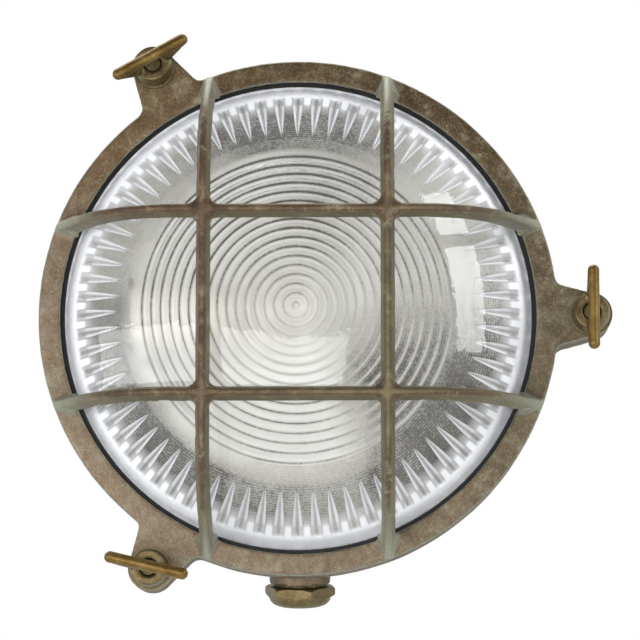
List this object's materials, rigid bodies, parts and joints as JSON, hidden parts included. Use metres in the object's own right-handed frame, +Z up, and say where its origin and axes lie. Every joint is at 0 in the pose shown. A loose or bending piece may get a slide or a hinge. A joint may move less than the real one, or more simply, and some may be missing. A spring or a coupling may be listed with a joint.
{
  "type": "bulkhead wall light",
  "caption": "Round outdoor wall light: cast brass base, ribbed pressed-glass dome and a cage guard held by bow nuts, with a cable gland below.",
  "frame": {"origin": "centre of the base's flat back face, on the wall plane", "axes": "+Y into the wall, so the light faces -Y; +Z up, with the cable gland at -Z; +X to the right as seen from the front"},
  "size_m": [0.267, 0.1146, 0.2626],
  "materials": {
    "cast_brass": "aged sand-cast brass with a brown patina and pale green edges",
    "turned_brass": "handled ochre brass, satin",
    "stud_brass": "dulled brass",
    "contact_brass": "bright brass",
    "pressed_glass": "clear pressed glass",
    "opal_glass": "opal glass globe",
    "black_rubber": "matt moulded rubber",
    "white_enamel": "white stoved enamel",
    "zinc_steel": "zinc-plated steel",
    "porcelain": "white glazed porcelain",
    "brown_sheath": "brown sheathed lead",
    "blue_sheath": "blue sheathed lead",
    "nylon": "off-white nylon"
  },
  "bodies": {
    "base": {"base_casting": "cast_brass", "stud_right": "stud_brass", "stud_upper_left": "stud_brass", "stud_lower_left": "stud_brass", "gland_seal": "black_rubber", "reflector_tray": "white_enamel", "tray_screws": "zinc_steel", "lampholder_bracket": "zinc_steel", "bracket_screws": "zinc_steel", "lampholder_body": "porcelain", "holder_screws": "zinc_steel", "screw_shell": "contact_brass", "centre_contact": "contact_brass", "bulb": "opal_glass", "lead_grommet": "black_rubber", "live_lead": "brown_sheath", "neutral_lead": "blue_sheath", "terminal_block": "nylon", "terminal_clamps": "contact_brass", "clamp_screws": "contact_brass", "block_screw": "zinc_steel", "earth_screw": "contact_brass", "earth_washer": "contact_brass"},
    "guard": {"front_guard": "cast_brass", "glass_dome": "pressed_glass", "glass_gasket": "black_rubber"},
    "gland_ring": {"gland_washer": "turned_brass"},
    "gland": {"gland_nut": "turned_brass"},
    "ring_right": {"washer_right": "turned_brass"},
    "nut_right": {"bow_nut_right": "turned_brass"},
    "ring_upper_left": {"washer_upper_left": "turned_brass"},
    "nut_upper_left": {"bow_nut_upper_left": "turned_brass"},
    "ring_lower_left": {"washer_lower_left": "turned_brass"},
    "nut_lower_left": {"bow_nut_lower_left": "turned_brass"}
  },
  "joints": [
    {"name": "guard_lift", "type": "slide", "parent": "base", "child": "guard", "axis": [0, -1, 0], "range_m": [0, 0.04]},
    {"name": "travel_right", "type": "slide", "parent": "guard", "child": "ring_right", "axis": [0, -1, 0], "range_m": [0, 0.00875]},
    {"name": "unscrew_right", "type": "hinge", "parent": "ring_right", "child": "nut_right", "pos_m": [0.1358, -0.0663, 0], "axis": [0, -1, 0], "range_deg": [0, 2520]},
    {"name": "travel_upper_left", "type": "slide", "parent": "guard", "child": "ring_upper_left", "axis": [0, -1, 0], "range_m": [0, 0.00875]},
    {"name": "unscrew_upper_left", "type": "hinge", "parent": "ring_upper_left", "child": "nut_upper_left", "pos_m": [-0.0679, -0.0663, 0.11761], "axis": [0, -1, 0], "range_deg": [0, 2520]},
    {"name": "travel_lower_left", "type": "slide", "parent": "guard", "child": "ring_lower_left", "axis": [0, -1, 0], "range_m": [0, 0.00875]},
    {"name": "unscrew_lower_left", "type": "hinge", "parent": "ring_lower_left", "child": "nut_lower_left", "pos_m": [-0.0679, -0.0663, -0.11761], "axis": [0, -1, 0], "range_deg": [0, 2520]},
    {"name": "gland_travel", "type": "slide", "parent": "base", "child": "gland_ring", "axis": [0, 0.2079, -0.9781], "range_m": [0, 0.006]},
    {"name": "gland_unscrew", "type": "hinge", "parent": "gland_ring", "child": "gland", "pos_m": [0, -0.02196, -0.12259], "axis": [0, 0.2079, -0.9781], "range_deg": [0, 1440]}
  ],
  "couplings": [
    {"joint": "unscrew_right", "follows": "travel_right", "rad_per_m": 5026.5},
    {"joint": "unscrew_upper_left", "follows": "travel_upper_left", "rad_per_m": 5026.5},
    {"joint": "unscrew_lower_left", "follows": "travel_lower_left", "rad_per_m": 5026.5},
    {"joint": "gland_unscrew", "follows": "gland_travel", "rad_per_m": 4188.8}
  ]
}
